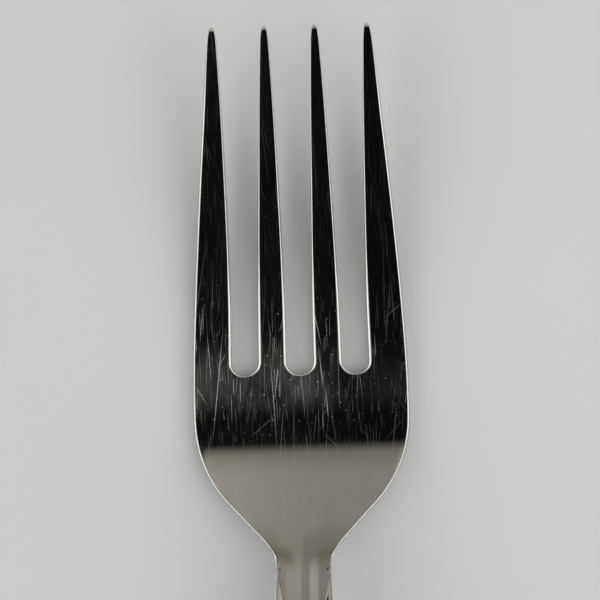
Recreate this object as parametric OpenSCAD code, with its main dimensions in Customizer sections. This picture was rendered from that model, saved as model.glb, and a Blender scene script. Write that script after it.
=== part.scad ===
// Cold meat fork: a forged four-tine head whose tang is cemented into a hollow handle of two shells.
// Frame: X across the fork, Y towards the tine tips, Z up, standing as it lies face up on a table.
// The origin is under the middle of the fork. A station is a distance in Y behind the tine tips.

/* [Head outline] */
// Width across the widest part of the head
head_w = 35.8; // [33.8:0.1:38.2]
// Length of the tines, from the tips to the ends of the slots
tine_len = 56.5; // [50:0.5:62]
// Spacing of the two inner tine tips
tip_pitch = 8.1; // [7.6:0.05:8.6]
// Spacing between an outer tine tip and its neighbour
outer_tip_pitch = 8.4; // [7.8:0.05:8.8]
// Width of a tine just behind its rounded tip
tip_w = 1.2; // [1:0.05:1.6]
// Width of the blunt end of a tine
tip_end_w = 0.75; // [0.6:0.05:0.95]
// Length of the rounding at a tine's tip
tip_round = 2.5; // [1.5:0.1:4]
// Width of the two inner tines at their roots
inner_tine_w = 4.55; // [4.2:0.05:5]
// Width of the slots at their ends
slot_w = 4.55; // [4.2:0.05:4.9]
// Distance from the slot ends to the widest part of the head
root_len = 7; // [6:0.1:10]
// Radius of the rounded shoulders
shoulder_r = 20; // [17:0.1:22]
// Angle between the straight part of a shoulder and the fork's axis
shoulder_angle = 44; // [41:1:50]
// Radius of the fillets between the shoulders and the neck
neck_r = 4.5; // [4:0.5:8]
// Width of the neck at its narrowest
neck_w = 8.8; // [8.3:0.1:10]

/* [Head profile] */
// Height of the underside of the tips above the table
tip_rise = 11; // [7:0.5:15]
// Slope of the tines at their tips, in degrees
tip_slope = 17; // [12:1:22]
// Distance from the slot ends to the middle of the flat under the belly
belly_set = 2; // [1:0.5:5]
// Length of the flat on which the belly rests
belly_flat = 3; // [2:0.5:5]
// Length over which the palm bends up towards the neck
bend_len = 14; // [11:0.5:17]
// Slope of the neck, in degrees
neck_slope = 18; // [15:1:20]
// Thickness of the tines at their tips
tip_t = 1; // [0.8:0.1:1.4]
// Thickness of the head at the belly
belly_t = 2.3; // [1.8:0.1:3]
// Thickness of the neck
neck_t = 5; // [4.4:0.1:5.6]

/* [Tang] */
// Width of the tang
tang_w = 5; // [4:0.1:5.4]
// Thickness of the tang
tang_t = 2.2; // [1.6:0.1:2.6]
// Length of the tang behind the mouth of the handle
tang_len = 48; // [40:1:56]

/* [Handle] */
// Length of the handle, from its mouth to its end
handle_len = 132.5; // [120:0.5:145]
// Wall thickness of the two handle shells
shell_wall = 0.6; // [0.4:0.05:0.8]
// Depth of the pointed notch in the mouth of each shell
notch_len = 18; // [14:0.5:20]
// Thickness of the handle at its mouth
mouth_t = 5.5; // [5.2:0.1:6.2]
// Width of the handle at the top of its arch
stem_w = 11.6; // [10.4:0.1:12.6]
// Distance from the mouth to the top of the arch
arch_len = 34; // [28:1:40]
// Height of the top of the arch above the table
arch_rise = 16.5; // [15.5:0.5:19]
// Width of the handle at its broad end
end_w = 21; // [17:0.5:24]
// Thickness of the handle at its broad end
end_t = 8.4; // [7:0.1:10]
// Length of the rounded end of the handle
end_round = 13; // [10:0.5:16]

/* [Joints] */
// Thickness of the solder in the seam between the shells
solder_t = 0.2; // [0.1:0.05:0.4]
// Gap between the neck's tongue and the notches in the shells
tongue_gap = 0.12; // [0.05:0.01:0.25]
// Gap round the cement and the solder, where real faces bond
bond_gap = 0.03; // [0.02:0.01:0.06]
// Length of cement behind the end of the tang
cement_extra = 12; // [4:1:20]

/* [Hidden] */

tine_count = 4;
inner_taper = 1.8;        // exponent of the inner tines' swelling from tip to root
outer_taper = 1.6;        // the same of the outer tines
mouth_squareness = 5;     // superellipse exponent of the handle's section at its mouth
stem_squareness = 2.5;    // the same at the arch and behind it
end_flat = 0.06;          // share of the section left as a flat at the very end of the handle
profile_step = 1.5;       // length of the facets along the head and the tang
tine_step = 4;            // length of the facets along the sides of the tines
tip_facets = 5;           // facets along the rounding at a tine's tip
slot_facets = 48;         // facets round the circle that ends a slot
arc_steps = 14;           // facets along each outline arc
half_steps = 16;          // facets across one shell's section
body_rings = 22;          // rings along a shell in front of its rounded end
end_rings = 8;            // rings along the rounded end
cement_side = 6;          // facets along each side of the cement's section
cement_rings = 16;        // rings along the cement and its socket
cement_set = 1;           // distance from the points of the notches to the start of the cement

side_lean = 2;            // degrees by which the head's sides lean out from the slots to its widest part
tall = 2 * (head_w + arch_rise);   // cuts right through the fork
belly_station = tine_len + belly_set;
flat_start = belly_station - belly_flat / 2;
flat_end = belly_station + belly_flat / 2;
slot_station = tine_len - slot_w / 2;
wide_station = tine_len + root_len;
line_start = wide_station + shoulder_r * sin(shoulder_angle);
line_start_x = head_w / 2 - shoulder_r * (1 - cos(shoulder_angle));
line_end_x = neck_w / 2 + neck_r * (1 - cos(shoulder_angle));
line_end = line_start + (line_start_x - line_end_x) / tan(shoulder_angle);
mouth_station = line_end + neck_r * sin(shoulder_angle);
fork_len = mouth_station + handle_len;
arch_station = mouth_station + arch_len;
rest_station = fork_len - end_round;
tang_end = mouth_station + tang_len;
cement_start = mouth_station + notch_len + cement_set;
cement_end = tang_end + cement_extra;
seam_half = solder_t / 2 + bond_gap;
neck_mid = belly_t + bend_rise(mouth_station) - neck_t / 2;
side_drop = (wide_station - slot_station) * sin(side_lean) / 2;
tongue_half_w = neck_w / 2 - shell_wall - tongue_gap;
tongue_len = notch_len * (1 - tongue_gap / (neck_w / 2 - shell_wall));

// Blends and curves

function mix(a, b, share) = a + (b - a) * share;
function share_of(s, first, last) = min(1, max(0, (s - first) / (last - first)));
function ease(share) = share * share * (3 - 2 * share);
function swell(share) = 1 - pow(1 - share, 2);

// Height at station s of the smooth curve between two stations with given heights and slopes
function curve(s, s0, z0, m0, s1, z1, m1) =
    let (h = s1 - s0, u = (s - s0) / h)
    (2 * pow(u, 3) - 3 * pow(u, 2) + 1) * z0 + (pow(u, 3) - 2 * pow(u, 2) + u) * h * m0
    + (3 * pow(u, 2) - 2 * pow(u, 3)) * z1 + (pow(u, 3) - pow(u, 2)) * h * m1;

function y_at(s) = fork_len / 2 - s;

// Heights along the fork

function head_t(s) =
    s < belly_station ? mix(tip_t, belly_t, swell(s / belly_station))
    : mix(belly_t, neck_t, ease(share_of(s, wide_station, mouth_station)));

// Rise of the head's top at station s behind the belly: a bend and then a straight ramp
function bend_rise(s) =
    let (u = share_of(s, flat_end, flat_end + bend_len))
    tan(neck_slope) * (bend_len * (pow(u, 3) - pow(u, 4) / 2) + max(0, s - flat_end - bend_len));

function underside(s) =
    s < flat_start ? curve(s, 0, tip_rise, -tan(tip_slope), flat_start, 0, 0)
    : s < flat_end ? 0
    : belly_t + bend_rise(s) - head_t(s);

function handle_half_t(s) = mix(mouth_t, end_t, ease(share_of(s, mouth_station, rest_station))) / 2;

function handle_mid(s) =
    let (arch_mid = arch_rise - handle_half_t(arch_station))
    s < arch_station
        ? curve(s, mouth_station, neck_mid, tan(neck_slope), arch_station, arch_mid, 0)
    : s < rest_station ? curve(s, arch_station, arch_mid, 0, rest_station, end_t / 2, 0)
    : end_t / 2;

// Outline of the head

function is_inner(i) = abs(i - (tine_count - 1) / 2) < 1;
function tine_root_w(i) =
    is_inner(i) ? inner_tine_w : head_w / 2 - side_drop - 1.5 * slot_w - inner_tine_w;
function tine_root_x(i) =
    let (side = i < tine_count / 2 ? -1 : 1)
    is_inner(i) ? side * (slot_w + inner_tine_w) / 2
    : side * (1.5 * slot_w + inner_tine_w + tine_root_w(i) / 2);
function tine_tip_x(i) =
    let (side = i < tine_count / 2 ? -1 : 1)
    side * (tip_pitch / 2 + (is_inner(i) ? 0 : outer_tip_pitch));
function tine_x(i, s) = mix(tine_tip_x(i), tine_root_x(i), s / slot_station);
function tine_half_w(i, s) =
    let (taper = is_inner(i) ? inner_taper : outer_taper,
        full = tine_root_w(i) - (tine_root_w(i) - tip_w) * pow(1 - s / slot_station, taper))
    (full - (tip_w - tip_end_w) * pow(1 - share_of(s, 0, tip_round), 2)) / 2;

function spread(first, last, step) =
    let (n = ceil((last - first) / step))
    [for (k = [0 : n]) mix(first, last, k / n)];

module tine_outline(i) {
    rounded = spread(0, tip_round, tip_round / tip_facets);
    stations = concat(rounded, spread(tip_round + tine_step, slot_station, tine_step));
    polygon(concat(
        [for (s = stations) [tine_x(i, s) + tine_half_w(i, s), y_at(s)]],
        [for (k = [len(stations) - 1 : -1 : 0])
            [tine_x(i, stations[k]) - tine_half_w(i, stations[k]), y_at(stations[k])]]));
}

// One side of the head from the slot ends to the mouth of the handle
function bowl_side() = concat(
    [[head_w / 2 - side_drop, slot_station]],
    [for (k = [0 : arc_steps])
        let (a = mix(-side_lean, shoulder_angle, k / arc_steps))
        [head_w / 2 - shoulder_r * (1 - cos(a)), wide_station + shoulder_r * sin(a)]],
    [for (k = [0 : arc_steps])
        let (a = mix(shoulder_angle, 0, k / arc_steps))
        [neck_w / 2 + neck_r * (1 - cos(a)), mouth_station - neck_r * sin(a)]]);

module bowl_outline() {
    side = bowl_side();
    difference() {
        polygon(concat(
            [for (p = side) [p[0], y_at(p[1])]],
            [for (k = [len(side) - 1 : -1 : 0]) [-side[k][0], y_at(side[k][1])]]));
        for (i = [-1 : 1])
            translate([i * (slot_w + inner_tine_w), y_at(slot_station)])
                circle(d = slot_w, $fn = slot_facets);
    }
}

module head_outline() {
    for (i = [0 : tine_count - 1])
        tine_outline(i);
    bowl_outline();
}

// Solids of the head: plan outlines cut to side profiles

// A plate with its top and bottom along two lists of [station, height]
module profile_plate(top, bottom) {
    rotate([90, 0, 90])
        linear_extrude(tall, center = true)
            polygon(concat(
                [for (p = top) [y_at(p[0]), p[1]]],
                [for (k = [len(bottom) - 1 : -1 : 0]) [y_at(bottom[k][0]), bottom[k][1]]]));
}

module blade() {
    stations = concat(spread(0, flat_start, profile_step), spread(flat_end, mouth_station, profile_step));
    intersection() {
        linear_extrude(tall, center = true)
            head_outline();
        profile_plate(
            [for (s = stations) [s, underside(s) + head_t(s)]],
            [for (s = stations) [s, underside(s)]]);
    }
}

// A bar of thickness t that follows the middle of the handle from the mouth to a station
module handle_bar(last, t) {
    stations = spread(mouth_station, last, profile_step);
    profile_plate(
        [for (s = stations) [s, handle_mid(s) + t / 2]],
        [for (s = stations) [s, handle_mid(s) - t / 2]]);
}

// The pointed tongue that fills the notches in the shells
module tongue() {
    intersection() {
        linear_extrude(tall, center = true)
            polygon([
                [tongue_half_w, y_at(mouth_station)],
                [0, y_at(mouth_station + tongue_len)],
                [-tongue_half_w, y_at(mouth_station)]]);
        handle_bar(mouth_station + tongue_len + profile_step, neck_t);
    }
}

module tang() {
    intersection() {
        translate([-tang_w / 2, y_at(tang_end), 0])
            cube([tang_w, tang_len, tall]);
        handle_bar(tang_end, tang_t);
    }
}

module fork_head() {
    color("silver") {
        blade();
        tongue();
        tang();
    }
}

// Solids of the handle: rings of points skinned along the handle

function squareness(s) = mix(mouth_squareness, stem_squareness, share_of(s, mouth_station, arch_station));

// A point of the unit superellipse at polar angle a
function unit_section(a, e) =
    [cos(a), sin(a)] / pow(pow(abs(cos(a)), e) + pow(abs(sin(a)), e), 1 / e);

function handle_half_w(s) =
    s < arch_station ? mix(neck_w, stem_w, swell(share_of(s, mouth_station, arch_station))) / 2
    : mix(stem_w, end_w, ease(share_of(s, arch_station, rest_station))) / 2;

// How much of the full section is left at station s of a rounded end that stops inset short of the handle's
function end_share(s, inset) =
    let (u = share_of(s, rest_station, fork_len - inset))
    max(end_flat, sqrt(1 - u * u));

// A point of the handle's surface, moved inwards by inset, at station s and polar angle a.
// Side is 1 or -1 for the shells, which stay clear of the seam, and 0 for a section that crosses it.
function handle_point(s, a, inset, side) =
    let (unit = unit_section(a, squareness(s)), left = end_share(s, inset), clear = abs(side) * seam_half,
        rise = unit[1] * (handle_half_t(s) - inset - clear) * left)
    [unit[0] * (handle_half_w(s) - inset) * left, y_at(s),
        handle_mid(s) + (side == 0 ? rise : side * (clear + rise))];

// Station of ring i at polar angle a: the first ring follows the pointed notch
function ring_station(i, a, inset) =
    let (notch = notch_len * (1 - abs(unit_section(a, mouth_squareness)[0])))
    i <= body_rings ? mix(mouth_station + tongue_gap + notch, rest_station, i / body_rings)
    : rest_station + (end_round - inset) * sin(90 * (i - body_rings) / end_rings);

function two_triangles(a, b, c, d) = [[a, b, c], [a, c, d]];
function flat(lists) = [for (l = lists) for (x = l) x];
function centre_of(ring) = [for (axis = [0 : 2]) [for (p = ring) 1 / len(ring)] * [for (p = ring) p[axis]]];
function reversed(face) = [for (k = [len(face) - 1 : -1 : 0]) face[k]];

// One half of the handle: side is 1 for the front shell and -1 for the back shell
module handle_shell(side) {
    rings = body_rings + end_rings;
    row = half_steps + 1;
    inner = (rings + 1) * row;
    points = [for (inset = [0, shell_wall]) for (i = [0 : rings]) for (j = [0 : half_steps])
        let (a = 180 * j / half_steps) handle_point(ring_station(i, a, inset), a, inset, side)];
    outer_skin = flat([for (i = [0 : rings - 1]) for (j = [0 : half_steps - 1])
        let (a = i * row + j) two_triangles(a, a + row, a + row + 1, a + 1)]);
    inner_skin = flat([for (i = [0 : rings - 1]) for (j = [0 : half_steps - 1])
        let (a = inner + i * row + j) two_triangles(a, a + 1, a + row + 1, a + row)]);
    right_seam = flat([for (i = [0 : rings - 1])
        let (a = i * row) two_triangles(a + row, a, inner + a, inner + a + row)]);
    left_seam = flat([for (i = [0 : rings - 1])
        let (a = i * row + half_steps) two_triangles(a, a + row, inner + a + row, inner + a)]);
    mouth = flat([for (j = [0 : half_steps - 1])
        two_triangles(j, j + 1, inner + j + 1, inner + j)]);
    last = rings * row;
    outer_end = [for (j = [1 : half_steps - 1]) [last + j + 1, last + j, last]];
    inner_end = [for (j = [1 : half_steps - 1]) [inner + last, inner + last + j, inner + last + j + 1]];
    seam_end = two_triangles(last + half_steps, last, inner + last, inner + last + half_steps);
    faces = concat(outer_skin, inner_skin, right_seam, left_seam, mouth, outer_end, inner_end, seam_end);
    polyhedron(points, side > 0 ? faces : [for (f = faces) reversed(f)], convexity = 6);
}

module handle_front_shell() {
    color("gainsboro")
        handle_shell(1);
}

module handle_back_shell() {
    color("gainsboro")
        handle_shell(-1);
}

// A tube of equal closed rings of points, capped at both ends
module skin(rings) {
    n = len(rings[0]);
    last = (len(rings) - 1) * n;
    first_centre = len(rings) * n;
    last_centre = first_centre + 1;
    sides = flat([for (i = [0 : len(rings) - 2]) for (j = [0 : n - 1])
        let (a = i * n + j, b = i * n + (j + 1) % n) two_triangles(a, a + n, b + n, b)]);
    first_cap = [for (j = [0 : n - 1]) [first_centre, j, (j + 1) % n]];
    last_cap = [for (j = [0 : n - 1]) [last_centre, last + (j + 1) % n, last + j]];
    centres = [centre_of(rings[0]), centre_of(rings[len(rings) - 1])];
    polyhedron(concat(flat(rings), centres), concat(sides, first_cap, last_cap), convexity = 6);
}

// The strip of solder runs down one side of the handle, round its end and back up the other side
module seam_solder() {
    rings = body_rings + end_rings;
    path = concat([for (i = [0 : rings]) [i, 0]], [for (i = [rings : -1 : 0]) [i, 180]]);
    color("lightgoldenrodyellow")
        skin([for (p = path)
            [for (corner = [[0, 1], [0, -1], [shell_wall, -1], [shell_wall, 1]])
                let (s = ring_station(p[0], p[1], corner[0]))
                handle_point(s, p[1], corner[0], 0) + [0, 0, corner[1] * solder_t / 2]]]);
}

// Corners and sides of the square that carries the cement's sections
square_loop = [for (k = [0 : 3]) for (j = [0 : cement_side - 1])
    let (from = [[1, -1], [1, 1], [-1, 1], [-1, -1]][k], to = [[1, 1], [-1, 1], [-1, -1], [1, -1]][k])
    mix(from, to, j / cement_side)];

function cement_ring(s) = [for (q = square_loop)
    handle_point(s, atan2(q[1], q[0]), shell_wall + bond_gap, 0)];

function socket_ring(s) = [for (q = square_loop)
    [q[0] * (tang_w / 2 + bond_gap), y_at(s), handle_mid(s) + q[1] * (tang_t / 2 + bond_gap)]];

// Cement fills the handle round the tang, and its socket holds the tang
module tang_cement() {
    socket_end = tang_end + bond_gap;
    color("tan")
        skin(concat(
            [for (i = [cement_rings : -1 : 0]) cement_ring(mix(cement_start, cement_end, i / cement_rings))],
            [for (i = [0 : cement_rings]) socket_ring(mix(cement_start, socket_end, i / cement_rings))]));
}

fork_head();
handle_front_shell();
handle_back_shell();
seam_solder();
tang_cement();
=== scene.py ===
"""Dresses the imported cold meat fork: forged head, hollow handle, seam, cement and stage."""
from math import acos, asin, atan2, copysign, cos, hypot, pi, radians, sin, sqrt, tan

import bmesh
import bpy
from bpy.props import FloatProperty, FloatVectorProperty, PointerProperty
from mathutils import Matrix, Vector


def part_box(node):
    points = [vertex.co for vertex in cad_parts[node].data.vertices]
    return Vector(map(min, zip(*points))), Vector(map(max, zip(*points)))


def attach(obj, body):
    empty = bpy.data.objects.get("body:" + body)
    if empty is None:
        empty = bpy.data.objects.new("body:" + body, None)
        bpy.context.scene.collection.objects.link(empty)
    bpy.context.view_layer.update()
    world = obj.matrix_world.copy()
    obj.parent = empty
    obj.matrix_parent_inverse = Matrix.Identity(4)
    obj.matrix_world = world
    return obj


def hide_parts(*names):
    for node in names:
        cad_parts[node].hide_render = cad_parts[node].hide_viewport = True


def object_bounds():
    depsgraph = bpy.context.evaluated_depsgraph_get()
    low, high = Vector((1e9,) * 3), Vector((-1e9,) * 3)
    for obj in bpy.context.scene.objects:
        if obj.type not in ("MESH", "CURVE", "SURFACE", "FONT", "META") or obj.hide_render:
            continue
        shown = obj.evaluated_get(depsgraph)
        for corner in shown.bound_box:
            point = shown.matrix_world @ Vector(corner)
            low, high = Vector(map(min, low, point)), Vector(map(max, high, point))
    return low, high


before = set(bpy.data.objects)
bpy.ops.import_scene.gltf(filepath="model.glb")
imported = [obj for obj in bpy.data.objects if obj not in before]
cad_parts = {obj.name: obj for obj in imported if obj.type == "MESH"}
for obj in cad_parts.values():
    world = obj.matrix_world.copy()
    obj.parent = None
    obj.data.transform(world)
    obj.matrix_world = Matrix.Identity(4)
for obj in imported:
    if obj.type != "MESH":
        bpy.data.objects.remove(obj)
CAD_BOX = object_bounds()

bl_info = {
    "name": "Cold meat fork",
    "version": (1, 0, 0),
    "blender": (4, 5, 0),
    "location": "3D View > Sidebar > Fork",
    "description": "Builds the fork's head, hollow handle, seam and stage, and finishes its cement",
    "category": "Object",
}

MM = 0.001
HEAD_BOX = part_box("fork_head")
TIP_Y = CAD_BOX[1][1]
TINES = 4
# Powers of the taper of the inner and the outer tines.
INNER_TAPER = 1.8
OUTER_TAPER = 1.6
# Superellipse exponents of the handle's sections, and what is added at the mouth for crisp corners.
MOUTH_SQUARENESS = 5
ARCH_SQUARENESS = 2.5
CORNER_SQUARENESS = 60
# Spare half width of the tips and of the tongue in the blank, which leaves room for bevels.
TIP_SPARE = 0.75 * MM
TONGUE_SPARE = 0.8 * MM
# Half the width of the tongue's blunt point, and the share of the notch that the tongue fills.
TONGUE_POINT = 0.25 * MM
TONGUE_REACH = 0.985
# How far from an edge its rounding moves the mesh, and the step that measures a side's slope.
RIM_REACH = 2 * MM
SIDE_STEP = 0.2 * MM
# Where the edges' rounding changes: behind the tips, and in front of the slots' round ends.
OUTER_EDGE_GROWTH = (1 * MM, 16 * MM)
SLOT_EDGE_GROWTH = (3 * MM, 30 * MM)
ROOT_EDGE_GROWTH = (-20 * MM, -3 * MM)
ROOT_EDGE_FLATTENING = (-25 * MM, -9 * MM)
# Where the shoulders' soft fall begins and ends, from the widest part, and the neck's fall, from the mouth.
SHOULDER_START = (-4 * MM, 1 * MM)
SHOULDER_END = (3 * MM, 13 * MM)
NECK_START = -7 * MM
NECK_BOW = 1.5 * MM
NECK_LENGTH = 6.5 * MM
RIB_GROWTH = (3 * MM, 8 * MM)
# Where the neck's edges grow crisp, from the mouth.
NECK_CRISPING = (-5 * MM, -1 * MM)
# Spacing of the points along the blank's outline, and the gap between them and the slots' round ends.
TIP_ROWS = 0.5 * MM
TINE_ROWS = 2.5 * MM
PALM_ROWS = 0.8 * MM
TONGUE_ROWS = 1 * MM
SLOT_ROW_GAP = 1 * MM
# Spacing of the cuts across the tines, palm and tang, and of those along the palm and the rib.
TINE_CUTS = 1.2 * MM
PALM_CUTS = 0.7 * MM
TANG_CUTS = 2 * MM
LONG_CUTS = 0.6 * MM
RIB_CUTS = 0.24 * MM
# Where the cuts along the palm begin, behind the slots, and those of the rib, from the mouth and the middle.
LONG_CUTS_START = 4 * MM
RIB_CUTS_START = -8 * MM
RIB_CUTS_REACH = 1.2 * MM
# Bevels of the tips in plan and of the tang, the ring inside the blank's faces, and the tang's start.
TIP_BEVEL = 0.45 * MM
TANG_BEVEL = 0.15 * MM
FACE_RING = 0.12 * MM
TANG_START = 0.4 * MM
# The most of a tine's half width that an edge's rounding may take.
MOST_ROUNDED = 0.55
# The least shares of the half width at which the border ends and the field begins.
LEAST_BORDER = 0.1
LEAST_FIELD = 0.05
# Steps of the meshes.
SLOT_ROUND_STEPS = 10
EDGE_STEPS = 6
BODY_ROWS = 110
END_ROWS = 22
BORDER_COLUMNS = 10
SLOPE_COLUMNS = 4
FIELD_COLUMNS = 48
# Points nearer than these count as level and as on a cut; faces that meet at more than the angle stay sharp.
LEVEL_LIMIT = 0.01 * MM
CUT_LIMIT = 2e-6
SHARP_ANGLE = radians(50)
# Points nearer than these are merged, and the slack in telling which points lie on the upper rounding.
OUTLINE_MERGE = 0.05 * MM
RIM_MERGE = 0.03 * MM
SHELL_MERGE = 1e-6
SOLDER_MERGE = 1e-7
ROUNDING_SLACK = 1e-6
# Where the head's wear fades, behind its widest part, and its dullest place, behind the slots' round ends.
WEAR_FADE = 11 * MM
HAZE_SET = 4.2 * MM
# How strongly and how closely the handle is scratched, as shares of the head's scratches.
HANDLE_WEAR = 0.6
HANDLE_DENSITY = 0.8
# Places, aim and size of the lamps in metres, and the table's reach and its gap below the fork.
KEY_PLACE = (0.42, -0.05, 0.72)
FILL_PLACE = (-0.6, -0.05, 0.53)
LAMP_AIM = (0, 50 * MM, 5 * MM)
LAMP_SIZE = 0.8
TABLE_REACH = 2.0
TABLE_GAP = 0.02 * MM


def linear_colour(code):
    """Turns an sRGB hex code such as #C8C8C8 into linear red, green and blue."""
    shares = [int(code[k:k + 2], 16) / 255 for k in (1, 3, 5)]
    return [c / 12.92 if c <= 0.04045 else ((c + 0.055) / 1.055) ** 2.4 for c in shares]


def length(name, description, millimetres):
    """A length property, given in millimetres and held in metres."""
    return FloatProperty(name=name, description=description, default=millimetres * MM,
                         subtype="DISTANCE", unit="LENGTH")


def angle(name, description, degrees):
    """An angle property, given in degrees and held in radians."""
    return FloatProperty(name=name, description=description, default=radians(degrees),
                         subtype="ANGLE", unit="ROTATION")


def colour(name, description, code):
    """A colour property, given as an sRGB hex code."""
    return FloatVectorProperty(name=name, description=description, default=linear_colour(code),
                               subtype="COLOR", size=3, min=0, max=1)


def share(name, description, value):
    """A plain number property from 0 to 1."""
    return FloatProperty(name=name, description=description, default=value, min=0, max=1, subtype="FACTOR")


class ForkHeadSizes(bpy.types.PropertyGroup):
    """Sizes of the forged head: the solids' own, and those of its fine edges, blunt tips and rib."""

    head_width: length("Head width", "Width across the widest part of the head",
                       (HEAD_BOX[1][0] - HEAD_BOX[0][0]) / MM)
    tine_length: length("Tine length", "From the tips to the ends of the slots", 56.5)
    tip_spacing: length("Tip spacing", "Spacing of the two inner tine tips", 8.1)
    outer_tip_spacing: length("Outer tip spacing", "Spacing between an outer tip and its neighbour", 8.4)
    tip_width: length("Tip width", "Width of a tine just behind its rounded tip", 1.2)
    tip_end_width: length("Tip end width", "Width of the blunt end of a tine", 0.75)
    tip_round: length("Tip rounding", "Length of the rounding at a tine's tip", 2.5)
    inner_tine_width: length("Inner tine width", "Width of the two inner tines at their roots", 4.55)
    slot_width: length("Slot width", "Width of the slots at their ends", 4.55)
    root_length: length("Root length", "From the slot ends to the widest part of the head", 7)
    shoulder_radius: length("Shoulder radius", "Radius of the rounded shoulders", 20)
    shoulder_angle: angle("Shoulder angle", "Angle between a shoulder and the fork's axis", 44)
    side_lean: angle("Side lean", "Lean of the head's sides behind the slots", 2)
    neck_radius: length("Neck fillet", "Radius between the shoulders and the neck", 4.5)
    neck_width: length("Neck width", "Width of the neck at its narrowest", 8.8)
    tip_rise: length("Tip rise", "Height of the underside of the tips above the table", 11)
    tip_slope: angle("Tip slope", "Slope of the tines at their tips", 17)
    belly_set: length("Belly set", "From the slot ends to the middle of the flat under the belly", 2)
    belly_flat: length("Belly flat", "Length of the flat on which the belly rests", 3)
    bend_length: length("Bend length", "Length over which the palm bends up towards the neck", 14)
    neck_slope: angle("Neck slope", "Slope of the neck", 18)
    tip_thickness: length("Tip thickness", "Thickness of the tines at their tips", 1)
    belly_thickness: length("Belly thickness", "Thickness of the head at the belly", 2.3)
    neck_thickness: length("Neck thickness", "Thickness of the neck", 5)
    tang_width: length("Tang width", "Width of the tang", 5)
    tang_thickness: length("Tang thickness", "Thickness of the tang", 2.2)
    tang_length: length("Tang length", "Length of the tang behind the mouth of the handle", 48)
    edge_round: length("Edge rounding", "Rounding of the head's lower edges", 0.2)
    edge_width: length("Edge width", "Width of the upper rounding along the outer edges", 0.42)
    edge_depth: share("Edge depth", "Share of the thickness rounded away on the outer edges", 0.5)
    tip_edge_width: length("Tip edge width", "Width of the upper rounding at the tips", 0.12)
    slot_edge_width: length("Slot edge width", "Width of the upper rounding along the slots", 0.3)
    upper_edge_depth: share("Upper edge depth", "Share of the thickness rounded away far up the slots", 0.5)
    slot_edge_depth: share("Slot edge depth", "Share of the thickness rounded away by the slot ends", 0.15)
    root_edge_width: length("Root edge width", "Width of the upper rounding by the slot ends", 0.62)
    slot_end_width: length("Slot end width", "Width of the upper rounding round a slot's end", 0.16)
    edge_fall: length("Edge fall", "Fall of the shoulders' top towards their edges", 0.12)
    edge_reach: length("Edge reach", "Width over which the shoulders' top falls", 1.2)
    tip_fall: length("Tip fall", "Fall of the blunt end of a tine", 0.62)
    tip_fall_length: length("Tip fall length", "Length of the falling end of a tine", 0.75)
    neck_edge: length("Neck edge", "Width and depth of the upper rounding beside the mouth", 0.05)
    neck_fall: length("Neck fall", "How far the neck's top lies below the straight ramp", 0.2)
    rib_height: length("Rib height", "Height of the soft rib along the middle of the neck", 0.15)
    rib_crest: length("Rib crest", "Half the width of the rib's crest", 0.45)
    rib_foot: length("Rib foot", "Half the width of the rib at its foot", 2.7)


class ForkHandleSizes(bpy.types.PropertyGroup):
    """Sizes of the hollow handle, the same as the solids' but for its fine mouth and border."""

    handle_length: length("Handle length", "From the mouth to the end", 132.5)
    shell_wall: length("Shell wall", "Wall thickness of the two shells", 0.6)
    notch_length: length("Notch length", "Depth of the pointed notch in the mouth of each shell", 18)
    mouth_thickness: length("Mouth thickness", "Thickness of the handle at its mouth", 5.5)
    front_drop: length("Front drop", "How far the front shell's mouth lies lower, flush with the neck", 0.58)
    back_drop: length("Back drop", "How far the back shell's mouth lies higher, flush with the neck", 0.23)
    stem_width: length("Stem width", "Width of the handle at the top of its arch", 11.6)
    arch_length: length("Arch length", "From the mouth to the top of the arch", 34)
    arch_rise: length("Arch rise", "Height of the top of the arch above the table", 16.5)
    end_width: length("End width", "Width of the handle at its broad end", 21)
    end_thickness: length("End thickness", "Thickness of the handle at its broad end", 8.4)
    end_round: length("End rounding", "Length of the rounded end", 13)
    solder_thickness: length("Solder thickness", "Thickness of the solder in the seam", 0.2)
    tongue_gap: length("Tongue gap", "Gap between the neck's tongue and the notches", 0.05)
    bond_gap: length("Bond gap", "Gap beside the solder", 0.03)
    border_width: length("Border width", "Width of the plain raised border along the front's edges", 1.3)
    border_slope: length("Border slope", "Width of the slope inside the border", 0.4)
    border_depth: length("Border depth", "Depth of the front's field below the border", 0.22)


class ForkFinish(bpy.types.PropertyGroup):
    """Colours and wear of the fork's materials."""

    head_steel: colour("Head steel", "Colour of the head's polished steel", "#D0CFCB")
    handle_steel: colour("Handle steel", "Colour of the handle's polished steel", "#D1D0CD")
    solder: colour("Solder", "Colour of the silver solder", "#DDD8C9")
    cement: colour("Cement", "Colour of the cement inside the handle", "#B5A78F")
    scratch_share: share("Scratches", "How strongly the scratches of use show", 0.8)


class ForkStage(bpy.types.PropertyGroup):
    """The table, the light and the camera."""

    floor_colour: colour("Table", "Colour of the table", "#CBCBCB")
    ceiling_colour: colour("Ceiling", "Colour of the dark room above", "#0C0D0E")
    board_colour: colour("Board", "Colour of the grey board beyond the tips", "#89857C")
    horizon_colour: colour("Horizon", "Colour of the room's pale, lowest part", "#C8C8C8")
    board_turn: angle("Board turn", "Turn of the grey board towards the fork's right side", 12)
    side_glow: FloatProperty(
        name="Side glow", description="Brightness of the room's two sides", default=1.6, min=0)
    key_power: FloatProperty(
        name="Key lamp", description="Power of the lamp on the right", default=2.4, unit="POWER")
    fill_power: FloatProperty(
        name="Fill lamp", description="Power of the lamp on the left", default=0.65, unit="POWER")
    camera_place: FloatVectorProperty(
        name="Camera", description="Place of the camera", default=(15.17 * MM, 65.13 * MM, 400 * MM), size=3,
        subtype="XYZ", unit="LENGTH")
    camera_lens: FloatProperty(
        name="Lens", description="Focal length on a 36 mm sensor", default=145.35, unit="CAMERA")
    camera_lean: angle("Camera lean", "Turn of the camera towards the fork's left side", 2.145)
    camera_tip: angle("Camera tip", "Turn of the camera towards the tips", 0.09)
    camera_roll: angle("Camera roll", "Turn of the picture", -1.519)


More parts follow.
